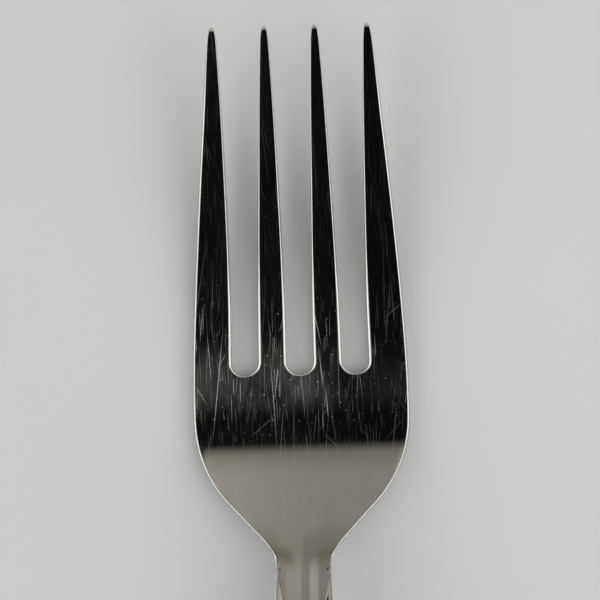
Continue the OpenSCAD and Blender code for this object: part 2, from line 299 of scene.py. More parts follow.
def mix(a, b, amount):
    """The value that lies at amount between a and b."""
    return a + (b - a) * amount


def share_of(s, first, last):
    """How far s is from first to last, from 0 to 1."""
    return min(1.0, max(0.0, (s - first) / (last - first)))


def ease(u):
    """0 to 1 with no slope at either end."""
    return u * u * (3 - 2 * u)


def eased(s, first, last):
    """How far s is from first to last, from 0 to 1 and with no slope at either end."""
    return ease(share_of(s, first, last))


def swell(u):
    """0 to 1 with no slope at the far end."""
    return 1 - (1 - u) ** 2


def curve(s, s0, z0, m0, s1, z1, m1):
    """Height at s of the smooth curve between two stations with given heights and slopes."""
    h = s1 - s0
    u = (s - s0) / h
    low = (2 * u**3 - 3 * u**2 + 1) * z0 + (u**3 - 2 * u**2 + u) * h * m0
    return low + (3 * u**2 - 2 * u**3) * z1 + (u**3 - u**2) * h * m1


def y_at(s):
    """Y of a station, which is a distance behind the tine tips."""
    return TIP_Y - s


class HeadForm:
    """Plan and profile of the head."""

    def __init__(self, sizes):
        self.z = sizes
        self.slot_station = sizes.tine_length - sizes.slot_width / 2
        self.wide_station = sizes.tine_length + sizes.root_length
        self.belly_station = sizes.tine_length + sizes.belly_set
        self.flat_start = self.belly_station - sizes.belly_flat / 2
        self.flat_end = self.belly_station + sizes.belly_flat / 2
        a = sizes.shoulder_angle
        self.line_start = self.wide_station + sizes.shoulder_radius * sin(a)
        self.line_start_x = sizes.head_width / 2 - sizes.shoulder_radius * (1 - cos(a))
        line_end_x = sizes.neck_width / 2 + sizes.neck_radius * (1 - cos(a))
        self.line_end = self.line_start + (self.line_start_x - line_end_x) / tan(a)
        self.mouth = self.line_end + sizes.neck_radius * sin(a)
        self.side_drop = (self.wide_station - self.slot_station) * sin(sizes.side_lean) / 2

    def inner(self, i):
        """True for the two tines in the middle."""
        return 0 < i < TINES - 1

    def root_width(self, i):
        """Width of tine i at its root."""
        z = self.z
        if self.inner(i):
            return z.inner_tine_width
        return z.head_width / 2 - self.side_drop - 1.5 * z.slot_width - z.inner_tine_width

    def centre(self, i, s):
        """X of the middle of tine i."""
        z = self.z
        turn = -1 if i < TINES / 2 else 1
        root = turn * (z.slot_width + z.inner_tine_width) / 2
        tip = turn * z.tip_spacing / 2
        if not self.inner(i):
            root = turn * (1.5 * z.slot_width + z.inner_tine_width + self.root_width(i) / 2)
            tip += turn * z.outer_tip_spacing
        return mix(tip, root, s / self.slot_station)

    def half(self, i, s):
        """Half the width of tine i."""
        z = self.z
        taper = INNER_TAPER if self.inner(i) else OUTER_TAPER
        root = self.root_width(i)
        full = root - (root - z.tip_width) * max(0.0, 1 - s / self.slot_station) ** taper
        return (full - (z.tip_width - z.tip_end_width) * (1 - share_of(s, 0, z.tip_round)) ** 2) / 2

    def blank_half(self, i, s):
        """Half the width of tine i in the blank, which is wider at the tips."""
        return self.half(i, s) + TIP_SPARE * max(0.0, 1 - s / self.slot_station) ** 3

    def side(self, s):
        """Half the width of the head behind the slots."""
        z = self.z
        if s < self.wide_station:
            back = (self.wide_station - s) / (self.wide_station - self.slot_station)
            return z.head_width / 2 - self.side_drop * min(1.0, back) ** 2
        if s < self.line_start:
            turn = asin((s - self.wide_station) / z.shoulder_radius)
            return z.head_width / 2 - z.shoulder_radius * (1 - cos(turn))
        if s < self.line_end:
            return self.line_start_x - (s - self.line_start) * tan(z.shoulder_angle)
        turn = asin(min(1.0, max(0.0, (self.mouth - s) / z.neck_radius)))
        return z.neck_width / 2 + z.neck_radius * (1 - cos(turn))

    def side_slope(self, s):
        """Slope of the head's side in plan."""
        return (self.side(s + SIDE_STEP) - self.side(s - SIDE_STEP)) / (2 * SIDE_STEP)

    def neck_share(self, s):
        """How far s is into the last few millimetres of the neck, where the edges grow crisp."""
        return eased(s - self.mouth, *NECK_CRISPING)

    def thickness(self, s):
        """Thickness of the head."""
        z = self.z
        if s < self.belly_station:
            return mix(z.tip_thickness, z.belly_thickness, swell(s / self.belly_station))
        return mix(z.belly_thickness, z.neck_thickness, eased(s, self.wide_station, self.mouth))

    def bend_rise(self, s):
        """Rise of the head's top behind the belly: a bend and then a straight ramp."""
        z = self.z
        u = share_of(s, self.flat_end, self.flat_end + z.bend_length)
        ramp = max(0.0, s - self.flat_end - z.bend_length)
        return tan(z.neck_slope) * (z.bend_length * (u**3 - u**4 / 2) + ramp)

    def underside(self, s):
        """Height of the head's underside."""
        z = self.z
        if s < self.flat_start:
            return curve(s, 0, z.tip_rise, -tan(z.tip_slope), self.flat_start, 0, 0)
        if s < self.flat_end:
            return 0.0
        return z.belly_thickness + self.bend_rise(s) - self.thickness(s)


class HandleForm:
    """Plan, profile and sections of the handle."""

    def __init__(self, head, sizes):
        self.z = sizes
        self.head = head
        self.mouth = head.mouth
        self.end = head.mouth + sizes.handle_length
        self.arch = head.mouth + sizes.arch_length
        self.rest = self.end - sizes.end_round
        self.neck_width = head.z.neck_width
        self.neck_middle = head.underside(head.mouth) + head.z.neck_thickness / 2
        self.seam_half = sizes.solder_thickness / 2 + sizes.bond_gap

    def half_thickness(self, s):
        """Half the handle's thickness."""
        u = eased(s, self.mouth, self.rest)
        return mix(self.z.mouth_thickness, self.z.end_thickness, u) / 2

    def middle(self, s):
        """Height of the handle's middle."""
        z = self.z
        arch_middle = z.arch_rise - self.half_thickness(self.arch)
        if s < self.arch:
            slope = tan(self.head.z.neck_slope)
            return curve(s, self.mouth, self.neck_middle, slope, self.arch, arch_middle, 0)
        if s < self.rest:
            return curve(s, self.arch, arch_middle, 0, self.rest, z.end_thickness / 2, 0)
        return z.end_thickness / 2

    def half_width(self, s):
        """Half the handle's width in front of its rounded end."""
        z = self.z
        if s < self.arch:
            return mix(self.neck_width, z.stem_width, swell(share_of(s, self.mouth, self.arch))) / 2
        return mix(z.stem_width, z.end_width, eased(s, self.arch, self.rest)) / 2

    def squareness(self, s):
        """Superellipse exponent of the section, which is nearly square at the mouth beside the neck."""
        plain = mix(MOUTH_SQUARENESS, ARCH_SQUARENESS, share_of(s, self.mouth, self.arch))
        return plain + CORNER_SQUARENESS * (1 - self.notch_share(s)) ** 2

    def notch_share(self, s):
        """How far s is through the pointed notches."""
        return share_of(s, self.mouth, self.mouth + self.z.notch_length)

    def round_share(self, s, inset=0.0):
        """How far s is through the rounded end."""
        return share_of(s, self.rest, self.end - inset)

    def unit(self, a, squareness):
        """Point of the unit superellipse at polar angle a."""
        scale = (abs(cos(a)) ** squareness + abs(sin(a)) ** squareness) ** (1 / squareness)
        return cos(a) / scale, sin(a) / scale

    def point(self, s, a, inset, side):
        """Point of the surface moved in by inset. Side is 1 or -1 for the shells and 0 for the seam."""
        squareness = self.squareness(s)
        across, up = self.unit(a, squareness)
        left = sqrt(max(0.0, 1 - self.round_share(s, inset) ** 2))
        clear = abs(side) * self.seam_half
        drop = (self.z.front_drop if side > 0 else self.z.back_drop) * (1 - ease(self.notch_share(s)))
        wide, high = self.half_width(s), self.half_thickness(s) - clear - drop
        out = Vector((abs(across) ** (squareness - 1) / wide, up ** (squareness - 1) / high)).normalized()
        x = across * wide - (inset * out.x if across > 0 else -inset * out.x)
        rise = max(0.0, up * high - inset * out.y)
        height = side * (clear + rise * left) if side else 0.0
        return Vector((x * left, y_at(s), self.middle(s) + height))

    def tongue_half(self, s):
        """Half the width of the neck's tongue, which fills the pointed notches."""
        wide = self.half_width(s)
        room = min(wide - self.z.shell_wall, wide * (1 - self.notch_share(s)))
        return max(TONGUE_POINT, room - self.z.tongue_gap)

    def tongue_spare(self, s):
        """Spare half width of the tongue in the blank."""
        return TONGUE_SPARE * self.notch_share(s) ** 2


def add_node(tree, kind, inputs=None, **settings):
    """Adds a node with its settings, and sets or links each of the inputs."""
    node = tree.nodes.new(kind)
    for key, value in settings.items():
        setattr(node, key, value)
    for key, value in (inputs or {}).items():
        if isinstance(value, bpy.types.NodeSocket):
            tree.links.new(value, node.inputs[key])
        else:
            node.inputs[key].default_value = value
    return node


def new_material(name):
    """An empty node material with its tree, shader and Object coordinates."""
    material = bpy.data.materials.new(name)
    material.use_nodes = True
    tree = material.node_tree
    tree.nodes.clear()
    shader = add_node(tree, "ShaderNodeBsdfPrincipled")
    add_node(tree, "ShaderNodeOutputMaterial", {"Surface": shader.outputs["BSDF"]})
    place = add_node(tree, "ShaderNodeTexCoord").outputs["Object"]
    return material, tree, shader, place


def strokes(tree, place, cell, most_lean, line, strength, seed):
    """A layer of straight scratches, one to a cell, each leaning by most_lean at most.

    Cell and line are pairs of a width and a length in metres. Seed moves the layer.
    """
    moved = add_node(tree, "ShaderNodeMapping", {
        "Vector": place, "Location": (seed * 0.37, seed * 0.61, 0), "Scale": (1 / cell[0], 1 / cell[1], 0)})
    cells = add_node(tree, "ShaderNodeTexVoronoi", {
        "Vector": moved.outputs[0], "Scale": 1.0, "Randomness": 1.0})
    away = add_node(tree, "ShaderNodeVectorMath", {
        0: moved.outputs[0], 1: cells.outputs["Position"]}, operation="SUBTRACT")
    real = add_node(tree, "ShaderNodeVectorMath", {
        0: away.outputs[0], 1: (cell[0], cell[1], 0)}, operation="MULTIPLY")
    chance = add_node(tree, "ShaderNodeSeparateColor", {"Color": cells.outputs["Color"]})
    lean = add_node(tree, "ShaderNodeMapRange", {
        "Value": chance.outputs["Red"], "To Min": -most_lean, "To Max": most_lean})
    turned = add_node(tree, "ShaderNodeVectorRotate", {
        "Vector": real.outputs[0], "Angle": lean.outputs[0]}, rotation_type="Z_AXIS")
    parts = add_node(tree, "ShaderNodeSeparateXYZ", {"Vector": turned.outputs[0]})
    off = add_node(tree, "ShaderNodeMath", {0: parts.outputs["X"]}, operation="ABSOLUTE")
    along = add_node(tree, "ShaderNodeMath", {0: parts.outputs["Y"]}, operation="ABSOLUTE")
    reach = add_node(tree, "ShaderNodeMapRange", {
        "Value": chance.outputs["Green"], "To Min": 0.15 * line[1], "To Max": 0.6 * line[1]})
    ends = add_node(tree, "ShaderNodeMath", {0: along.outputs[0], 1: reach.outputs[0]}, operation="DIVIDE")
    fade = add_node(tree, "ShaderNodeMapRange", {
        "Value": ends.outputs[0], "From Min": 0.3, "From Max": 1.0, "To Min": strength, "To Max": 0.0},
        interpolation_type="SMOOTHSTEP")
    thin = add_node(tree, "ShaderNodeMapRange", {
        "Value": off.outputs[0], "From Min": 0.25 * line[0], "From Max": 0.6 * line[0], "To Min": 1.0,
        "To Max": 0.0}, interpolation_type="SMOOTHSTEP")
    depth = add_node(tree, "ShaderNodeMath", {0: chance.outputs["Blue"], 1: 1.3}, operation="POWER")
    mark = fade.outputs[0]
    for part in (thin.outputs[0], depth.outputs[0]):
        mark = add_node(tree, "ShaderNodeMath", {0: mark, 1: part}, operation="MULTIPLY").outputs[0]
    return mark


def strongest(tree, marks):
    """The strongest of several layers of marks."""
    top = marks[0]
    for mark in marks[1:]:
        top = add_node(tree, "ShaderNodeMath", {0: top, 1: mark}, operation="MAXIMUM").outputs[0]
    return top


def worn_polished_steel(name, base, wear, dense, worn, hazy):
    """Stainless steel, mirror polished and worn in use: black and bright reflections under hairlines.

    Wear is how strongly the scratches show and dense how closely they lie. Worn is a pair of Y values,
    where wear begins and where it is full. Hazy is the Y of the dullest place.
    """
    material, tree, shader, place = new_material(name)
    # Real hairlines are a few hundredths of a millimetre wide; they are drawn about 0.1 mm wide to show.
    fine = strokes(tree, place, (0.4 * MM / dense, 7 * MM), radians(4), (0.1 * MM, 7 * MM), 0.8, 3)
    hair = strokes(tree, place, (0.8 * MM / dense, 11 * MM), radians(8), (0.11 * MM, 10 * MM), 1.3, 8)
    long_hair = strokes(tree, place, (2.6 * MM / dense, 24 * MM), radians(11), (0.11 * MM, 22 * MM), 1.2, 11)
    slant = strokes(tree, place, (5.5 * MM / dense, 7 * MM), radians(50), (0.11 * MM, 5 * MM), 0.7, 14)
    nick = strokes(tree, place, (2.2 * MM / dense, 2.2 * MM), radians(90), (0.15 * MM, 0.35 * MM), 1.0, 21)
    stretched = add_node(tree, "ShaderNodeMapping", {
        "Vector": place, "Scale": (1 / (2.6 * MM), 1 / (15 * MM), 0)})
    bundle = add_node(tree, "ShaderNodeTexNoise", {
        "Vector": stretched.outputs[0], "Scale": 1.0, "Detail": 3.0, "Roughness": 0.6})
    in_bundle = add_node(tree, "ShaderNodeMapRange", {
        "Value": bundle.outputs["Fac"], "From Min": 0.42, "From Max": 0.62, "To Min": 0.05, "To Max": 1.0})
    bundled = add_node(tree, "ShaderNodeMath", {
        0: strongest(tree, [fine, hair]), 1: in_bundle.outputs[0]}, operation="MULTIPLY")
    scratch = strongest(tree, [bundled.outputs[0], long_hair, slant, nick])
    # The dullest place lies across the fork. Scratches crowd there, with a patch of haze mostly on the left.
    where = add_node(tree, "ShaderNodeSeparateXYZ", {"Vector": place})
    off = add_node(tree, "ShaderNodeMath", {0: where.outputs["Y"], 1: hazy}, operation="SUBTRACT")
    shares = {}
    for key, value, start, end, low, high in (
            ("used", where.outputs["Y"], worn[0], worn[1], 0.15 * wear, wear),
            ("ahead", off.outputs[0], 4 * MM, 20 * MM, 1.0, 0.12),
            ("behind", off.outputs[0], -7 * MM, -2 * MM, 0.4, 1.0),
            ("left", where.outputs["X"], 1 * MM, 9 * MM, 1.0, 0.15),
            ("haze_ahead", off.outputs[0], 0.0, 9.5 * MM, 1.0, 0.04),
            ("haze_behind", off.outputs[0], -5.2 * MM, -0.6 * MM, 0.04, 1.0)):
        shares[key] = add_node(tree, "ShaderNodeMapRange", {
            "Value": value, "From Min": start, "From Max": end, "To Min": low, "To Max": high},
            interpolation_type="SMOOTHSTEP").outputs[0]
    fewer = add_node(tree, "ShaderNodeMapRange", {"Value": shares["left"], "To Min": 0.55, "To Max": 1.0})
    for part in (shares["used"], shares["ahead"], shares["behind"], fewer.outputs[0]):
        scratch = add_node(tree, "ShaderNodeMath", {0: scratch, 1: part}, operation="MULTIPLY").outputs[0]
    drawn = add_node(tree, "ShaderNodeMapping", {"Vector": place, "Scale": (1 / (5 * MM), 1 / (11 * MM), 0)})
    smear = add_node(tree, "ShaderNodeTexNoise", {
        "Vector": drawn.outputs[0], "Scale": 1.0, "Detail": 5.0, "Roughness": 0.55, "Distortion": 0.4})
    haze = add_node(tree, "ShaderNodeMapRange", {
        "Value": smear.outputs["Fac"], "From Min": 0.38, "From Max": 0.7, "To Min": 0.02, "To Max": 0.11})
    film = haze.outputs[0]
    for part in (shares["haze_ahead"], shares["haze_behind"], shares["left"]):
        film = add_node(tree, "ShaderNodeMath", {0: film, 1: part}, operation="MULTIPLY").outputs[0]
    polish = add_node(tree, "ShaderNodeMapRange", {
        "Value": smear.outputs["Fac"], "From Min": 0.3, "From Max": 0.7, "To Min": 0.05, "To Max": 0.09})
    rough = add_node(tree, "ShaderNodeMix", {
        0: scratch, 2: polish.outputs[0], 3: 0.5}, data_type="FLOAT")
    # Scratches and haze throw light about, so they show pale where the mirror is black.
    dull = add_node(tree, "ShaderNodeMath", {
        0: scratch, 1: 0.65, 2: film}, operation="MULTIPLY_ADD", use_clamp=True)
    metal = add_node(tree, "ShaderNodeMath", {0: 1.0, 1: dull.outputs[0]}, operation="SUBTRACT")
    tone = add_node(tree, "ShaderNodeTexNoise", {
        "Vector": place, "Scale": 1 / (3 * MM), "Detail": 4.0, "Roughness": 0.6})
    tint = add_node(tree, "ShaderNodeMix", {
        0: tone.outputs["Fac"], 6: [c * 0.91 for c in base] + [1],
        7: [min(1, c * 1.07) for c in base] + [1]}, data_type="RGBA")
    dent = add_node(tree, "ShaderNodeBump", {
        "Height": scratch, "Strength": 0.25, "Distance": 0.03 * MM}, invert=True)
    tree.links.new(tint.outputs[2], shader.inputs["Base Color"])
    tree.links.new(rough.outputs[0], shader.inputs["Roughness"])
    tree.links.new(metal.outputs[0], shader.inputs["Metallic"])
    tree.links.new(dent.outputs[0], shader.inputs["Normal"])
    return material


def silver_solder(base):
    """Silver solder, run into the seam and polished down with it: a thin paler, slightly yellow line."""
    material, tree, shader, place = new_material("silver_solder_polished")
    grain = add_node(tree, "ShaderNodeTexNoise", {
        "Vector": place, "Scale": 1 / (0.8 * MM), "Detail": 4.0, "Roughness": 0.6})
    tint = add_node(tree, "ShaderNodeMix", {
        0: grain.outputs["Fac"], 6: [c * 0.85 for c in base] + [1], 7: list(base) + [1]}, data_type="RGBA")
    rough = add_node(tree, "ShaderNodeMapRange", {
        "Value": grain.outputs["Fac"], "To Min": 0.2, "To Max": 0.42})
    shader.inputs["Metallic"].default_value = 1.0
    tree.links.new(tint.outputs[2], shader.inputs["Base Color"])
    tree.links.new(rough.outputs[0], shader.inputs["Roughness"])
    return material


def cast_cement(base):
    """Cement, poured in warm and set: matt, sandy and mottled, with fine pits."""
    material, tree, shader, place = new_material("handle_cement_cast")
    sand = add_node(tree, "ShaderNodeTexNoise", {
        "Vector": place, "Scale": 1 / (0.9 * MM), "Detail": 6.0, "Roughness": 0.7})
    blot = add_node(tree, "ShaderNodeTexNoise", {"Vector": place, "Scale": 1 / (5 * MM), "Detail": 3.0})
    both = add_node(tree, "ShaderNodeMath", {
        0: sand.outputs["Fac"], 1: blot.outputs["Fac"]}, operation="MULTIPLY")
    tint = add_node(tree, "ShaderNodeMapRange", {
        "Value": both.outputs[0], "From Min": 0.1, "From Max": 0.45, "To Min": 0.0, "To Max": 1.0})
    shade = add_node(tree, "ShaderNodeMix", {
        0: tint.outputs[0], 6: [c * 0.6 for c in base] + [1], 7: list(base) + [1]}, data_type="RGBA")
    pits = add_node(tree, "ShaderNodeBump", {
        "Height": sand.outputs["Fac"], "Strength": 0.6, "Distance": 0.15 * MM})
    tree.links.new(shade.outputs[2], shader.inputs["Base Color"])
    shader.inputs["Roughness"].default_value = 0.92
    tree.links.new(pits.outputs[0], shader.inputs["Normal"])
    return material


def finish_mesh(bm, name, material):
    """Makes the mesh an object at the origin with smooth faces and its material."""
    mesh = bpy.data.meshes.new(name)
    bm.to_mesh(mesh)
    bm.free()
    mesh.polygons.foreach_set("use_smooth", [True] * len(mesh.polygons))
    mesh.materials.append(material)
    piece = bpy.data.objects.new(name, mesh)
    bpy.context.scene.collection.objects.link(piece)
    return piece


def doubled(bm):
    """Extrudes the whole sheet on the spot, and gives the vertices of its new side."""
    copy = bmesh.ops.extrude_face_region(bm, geom=bm.faces[:], use_keep_orig=True)
    return [part for part in copy["geom"] if isinstance(part, bmesh.types.BMVert)]


def cut_across(bm, stations):
    """Cuts the whole mesh across at each station."""
    for s in stations:
        geometry = bm.verts[:] + bm.edges[:] + bm.faces[:]
        bmesh.ops.bisect_plane(bm, geom=geometry, dist=CUT_LIMIT, plane_co=(0, y_at(s), 0),
                               plane_no=(0, 1, 0))


def spread(first, last, step):
    """Stations from first to last, about step apart."""
    n = max(1, round((last - first) / step))
    return [mix(first, last, k / n) for k in range(n + 1)]


def head_blank(form, handle):
    """The flat blank of the head: one outline face with the slots cut out and their ends rounded."""
    z = form.z
    tine_rows = spread(0, z.tip_round, TIP_ROWS)
    tine_rows += spread(z.tip_round, form.slot_station - SLOT_ROW_GAP, TINE_ROWS)[1:]
    palm_rows = spread(z.tine_length, form.mouth, PALM_ROWS)
    tongue_rows = spread(form.mouth, form.mouth + TONGUE_REACH * handle.z.notch_length, TONGUE_ROWS)[1:]
    rows = tine_rows + palm_rows + tongue_rows
    last_row = len(rows) - 1
    slot_row = len(tine_rows)
    mouth_row = slot_row + len(palm_rows) - 1
    lanes = 2 * TINES - 1
    bm = bmesh.new()
    bmesh.ops.create_grid(bm, x_segments=lanes, y_segments=last_row, size=1)
    waste = []
    for face in bm.faces:
        middle = face.calc_center_median()
        lane = int((middle.x + 1) / 2 * lanes)
        row = int((1 - middle.y) / 2 * last_row)
        in_slot = lane % 2 == 1 and row < slot_row
        beside_tongue = lane in (0, lanes - 1) and row >= mouth_row
        if in_slot or beside_tongue:
            waste.append(face)
    bmesh.ops.delete(bm, geom=waste, context="FACES")
    slot_corners = []
    for v in bm.verts:
        i = round((v.co.x + 1) / 2 * lanes)
        j = round((1 - v.co.y) / 2 * last_row)
        s = rows[j]
        turn = -1 if i % 2 == 0 else 1
        if j < slot_row:
            x = form.centre(i // 2, s) + turn * form.blank_half(i // 2, s)
        elif j > mouth_row:
            x = (2 * (i - 1) / (lanes - 2) - 1) * (handle.tongue_half(s) + handle.tongue_spare(s))
        elif j == mouth_row and i in (1, lanes - 1):
            x = -turn * handle.tongue_half(s)
        else:
            root = form.centre(i // 2, form.slot_station) + turn * form.root_width(i // 2) / 2
            x = root * form.side(s) / form.side(form.slot_station)
        if j == slot_row and 0 < i < lanes:
            slot_corners.append(v)
        v.co = (x, y_at(s), 0)
    bmesh.ops.dissolve_faces(bm, faces=bm.faces[:], use_verts=False)
    bmesh.ops.bevel(bm, geom=slot_corners, offset=z.slot_width / 2, offset_type="OFFSET",
                    profile_type="SUPERELLIPSE", segments=SLOT_ROUND_STEPS, profile=0.5, affect="VERTICES",
                    clamp_overlap=False, material=-1)
    bmesh.ops.remove_doubles(bm, verts=bm.verts[:], dist=OUTLINE_MERGE)
    return bm


def thicken_blank(bm, form):
    """Gives the blank its thickness. Rounds the tips in plan and the rims before the mouth in section."""
    z = form.z
    bmesh.ops.translate(bm, verts=doubled(bm), vec=(0, 0, z.belly_thickness))
    bmesh.ops.recalc_face_normals(bm, faces=bm.faces[:])
    uprights = []
    for e in bm.edges:
        a, b = e.verts
        if abs(a.co.z - b.co.z) > LEVEL_LIMIT and min(a.co.y, b.co.y) > TIP_Y - LEVEL_LIMIT:
            uprights.append(e)
    bmesh.ops.bevel(bm, geom=uprights, offset=TIP_BEVEL, offset_type="OFFSET", segments=3, profile=0.5,
                    affect="EDGES", clamp_overlap=False, material=-1)
    rims = []
    for e in bm.edges:
        a, b = e.verts
        in_notch = max(a.co.y, b.co.y) < y_at(form.mouth) + LEVEL_LIMIT
        if abs(a.co.z - b.co.z) < LEVEL_LIMIT and not in_notch:
            rims.append(e)
    bmesh.ops.bevel(bm, geom=rims, offset=z.edge_round, offset_type="OFFSET", segments=EDGE_STEPS,
                    profile=0.5, affect="EDGES", clamp_overlap=False, loop_slide=True, material=-1)
    bmesh.ops.remove_doubles(bm, verts=bm.verts[:], dist=RIM_MERGE)
    caps = sorted(bm.faces, key=lambda face: len(face.verts))[-2:]
    bmesh.ops.inset_region(bm, faces=caps, thickness=FACE_RING, use_even_offset=False)


def cut_lengthwise(bm, first, places):
    """Cuts the head lengthwise behind a station, so that its top can be shaped across."""
    for x in places:
        faces = [f for f in bm.faces if TIP_Y - f.calc_center_median().y > first]
        edges = {e for f in faces for e in f.edges}
        verts = {v for f in faces for v in f.verts}
        bmesh.ops.bisect_plane(bm, geom=list(verts) + list(edges) + faces, dist=CUT_LIMIT,
                               plane_co=(x, 0, 0), plane_no=(1, 0, 0))


def widen(distance, narrow, wide, far):
    """Distance from an edge once its rounding grows from narrow to wide. Nothing moves beyond far."""
    if distance >= far:
        return distance
    if distance <= narrow:
        return distance * wide / narrow
    return mix(wide, far, (distance - narrow) / (far - narrow))


def draw_down(form, x, s):
    """X of a tine's point after drawing down to its real width, and the depth of the rounding beside it."""
    z = form.z
    i = min(range(TINES), key=lambda t: abs(x - form.centre(t, s)))
    middle, half, blank = form.centre(i, s), form.half(i, s), form.blank_half(i, s)
    side = copysign(1, x - middle)
    wide = mix(z.tip_edge_width, z.edge_width, eased(s, *OUTER_EDGE_GROWTH))
    depth = z.edge_depth
    if not ((i == 0 and side < 0) or (i == TINES - 1 and side > 0)):
        behind = s - form.slot_station
        upper = mix(z.tip_edge_width, z.slot_edge_width, eased(s, *SLOT_EDGE_GROWTH))
        wide = mix(upper, z.root_edge_width, eased(behind, *ROOT_EDGE_GROWTH))
        depth = mix(z.upper_edge_depth, z.slot_edge_depth, eased(behind, *ROOT_EDGE_FLATTENING))
    wide = min(wide, MOST_ROUNDED * half)
    from_edge = max(0.0, blank - abs(x - middle))
    if from_edge <= z.edge_round:
        return middle + side * (half - from_edge * wide / z.edge_round), depth
    return middle + side * mix(half - wide, 0, (from_edge - z.edge_round) / (blank - z.edge_round)), depth


def palm_rim(form, x, s):
    """Place of a palm's point once its edges' rounding has its real width, and the rounding's depth."""
    z = form.z
    lean = form.side_slope(s)
    slope = sqrt(1 + lean**2)
    from_edge = (form.side(s) - abs(x)) / slope
    if from_edge < RIM_REACH:
        crisp = form.neck_share(s)
        wide = mix(z.edge_width, z.neck_edge, crisp)
        moved = widen(from_edge, z.edge_round, wide, RIM_REACH) - from_edge
        depth = mix(z.edge_depth, z.neck_edge / z.neck_thickness, crisp)
        return x - copysign(moved / slope, x), s + lean * moved / slope, depth
    for k in (-1, 0, 1):
        across = x - k * (z.slot_width + z.inner_tine_width)
        behind = s - form.slot_station
        away = hypot(across, behind)
        from_edge = away - z.slot_width / 2
        if 0 < away and from_edge < RIM_REACH:
            wide = mix(z.slot_end_width, z.root_edge_width, (across / away) ** 2)
            moved = (widen(from_edge, z.edge_round, wide, RIM_REACH) - from_edge) / away
            return x + across * moved, s + behind * moved, z.slot_edge_depth
    return x, s, z.edge_depth


def top_fall(form, handle, x, s):
    """How far the head's top lies below its plain profile: blunt tips, soft shoulders, low ribbed neck."""
    z = form.z
    fall = z.tip_fall * max(0.0, 1 - s / z.tip_fall_length)
    if s < form.slot_station:
        return fall
    from_edge = (form.side(s) - abs(x)) / sqrt(1 + form.side_slope(s) ** 2)
    behind = s - form.wide_station
    soft = eased(behind, *SHOULDER_START) * (1 - eased(behind, *SHOULDER_END))
    fall += z.edge_fall * soft * max(0.0, 1 - from_edge / z.edge_reach) ** 2
    across = min(1.0, abs(x) / handle.half_width(s))
    beyond = s - (form.mouth + NECK_START + NECK_BOW * (1 - across))
    fall += z.neck_fall * eased(beyond, 0, NECK_LENGTH)
    return fall + z.rib_height * eased(beyond, *RIB_GROWTH) * eased(abs(x), z.rib_crest, z.rib_foot)


def bend_head(bm, form, handle):
    """Draws the tines down to their real widths and bends the flat blank to the head's profile."""
    z = form.z
    rounding = z.edge_round / z.belly_thickness
    for v in bm.verts:
        s = TIP_Y - v.co.y
        x = v.co.x
        depth = rounding
        if s < form.slot_station:
            x, depth = draw_down(form, x, s)
        elif s < form.mouth + LEVEL_LIMIT:
            x, s, depth = palm_rim(form, x, s)
        level = v.co.z / z.belly_thickness
        if level > 1 - rounding - ROUNDING_SLACK:
            level = 1 - depth * (1 - level) / rounding
        if s > form.mouth + LEVEL_LIMIT:
            x *= handle.tongue_half(s) / (handle.tongue_half(s) + handle.tongue_spare(s))
            low = handle.middle(s) - z.neck_thickness / 2
            high = low + z.neck_thickness
        else:
            low = form.underside(s)
            high = low + form.thickness(s)
        v.co = (x, y_at(s), mix(low, high - top_fall(form, handle, x, s), level))


def tang_mesh(form, handle):
    """The tang: a bar that follows the middle of the handle."""
    z = form.z
    first = form.mouth + TANG_START
    last = form.mouth + z.tang_length
    bm = bmesh.new()
    middle = Matrix.Translation((0, (y_at(first) + y_at(last)) / 2, 0))
    stretch = Matrix.Diagonal((z.tang_width, last - first, z.tang_thickness, 1))
    bmesh.ops.create_cube(bm, size=1, matrix=middle @ stretch)
    bmesh.ops.bevel(bm, geom=bm.edges[:], offset=TANG_BEVEL, offset_type="OFFSET", segments=2, profile=0.5,
                    affect="EDGES", clamp_overlap=False, material=-1)
    cut_across(bm, spread(first, last, TANG_CUTS)[1:-1])
    for v in bm.verts:
        v.co.z += handle.middle(TIP_Y - v.co.y)
    mesh = bpy.data.meshes.new("tang")
    bm.to_mesh(mesh)
    bm.free()
    return mesh


def row_station(handle, row, a, inset):
    """Station of a row of the shell at polar angle a: the first row follows the pointed notch."""
    z = handle.z
    if row <= BODY_ROWS:
        notch = z.notch_length * (1 - abs(handle.unit(a, handle.squareness(handle.mouth))[0]))
        return mix(handle.mouth + z.tongue_gap + notch, handle.rest, row / BODY_ROWS)
    return handle.rest + (z.end_round - inset) * sin(pi / 2 * (row - BODY_ROWS) / END_ROWS)


def border_lines(handle, s):
    """Where the border ends and the field begins, as shares of the half width."""
    z = handle.z
    u = handle.round_share(s)
    lines = []
    for width, least in ((z.border_width, LEAST_BORDER), (z.border_width + z.border_slope, LEAST_FIELD)):
        rim = 1 - width / handle.half_width(s)
        across = sqrt((rim**2 - u**2) / (1 - u**2)) if rim > u else 0.0
        lines.append(max(least, across))
    return lines


def column_angle(handle, column, s):
    """Polar angle of a column, which follows the border's two lines. Columns crowd at the corners."""
    half = BORDER_COLUMNS + SLOPE_COLUMNS + FIELD_COLUMNS // 2
    if column > half:
        return pi - column_angle(handle, 2 * half - column, s)
    outer, inner = border_lines(handle, s)
    squareness = handle.squareness(s)
    if column <= BORDER_COLUMNS:
        turn = acos(outer ** (squareness / 2)) * column / BORDER_COLUMNS
        across = cos(turn) ** (2 / squareness)
    elif column <= BORDER_COLUMNS + SLOPE_COLUMNS:
        across = mix(outer, inner, (column - BORDER_COLUMNS) / SLOPE_COLUMNS)
    else:
        across = mix(inner, 0, (column - BORDER_COLUMNS - SLOPE_COLUMNS) / (FIELD_COLUMNS / 2))
    return atan2((1 - across**squareness) ** (1 / squareness), across)


